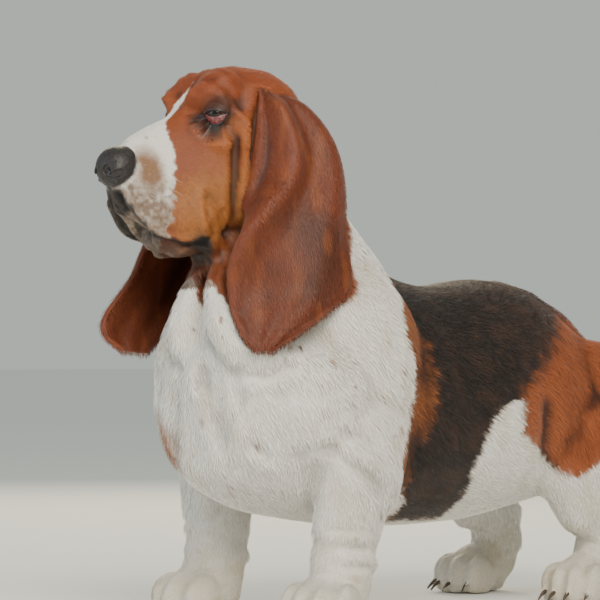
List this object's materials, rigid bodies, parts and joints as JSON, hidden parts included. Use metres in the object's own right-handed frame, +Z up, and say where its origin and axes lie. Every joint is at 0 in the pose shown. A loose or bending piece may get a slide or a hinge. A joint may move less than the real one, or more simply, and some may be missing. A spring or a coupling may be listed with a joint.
{
  "type": "basset hound model",
  "caption": "Standing basset hound, life size and still: long low body, short legs, hanging folded ears, loose skin at brow, lips and throat, raised tail.",
  "frame": {"origin": "on the floor, under the middle of the bounding box", "axes": "-X to the nose and +X to the tail, -Y to the dog's left side, +Z up"},
  "size_m": [0.8495, 0.2801, 0.5553],
  "materials": {
    "head_coat": "short red-brown coat",
    "ear_coat": "short dark red-brown coat",
    "pale_coat": "short white coat",
    "body_coat": "short coat in black, brown and white",
    "nose_leather": "dark, slightly wet leather of the nose",
    "eye": "polished dark brown eye"
  },
  "bodies": {
    "root": {"head": "head_coat", "lower_jaw": "pale_coat", "nose": "nose_leather", "eye_left": "eye", "eye_right": "eye", "ear_left": "ear_coat", "ear_right": "ear_coat", "neck": "pale_coat", "torso": "body_coat", "foreleg_left": "pale_coat", "foreleg_right": "pale_coat", "hindleg_left": "pale_coat", "hindleg_right": "pale_coat", "tail": "pale_coat"}
  },
  "joints": []
}
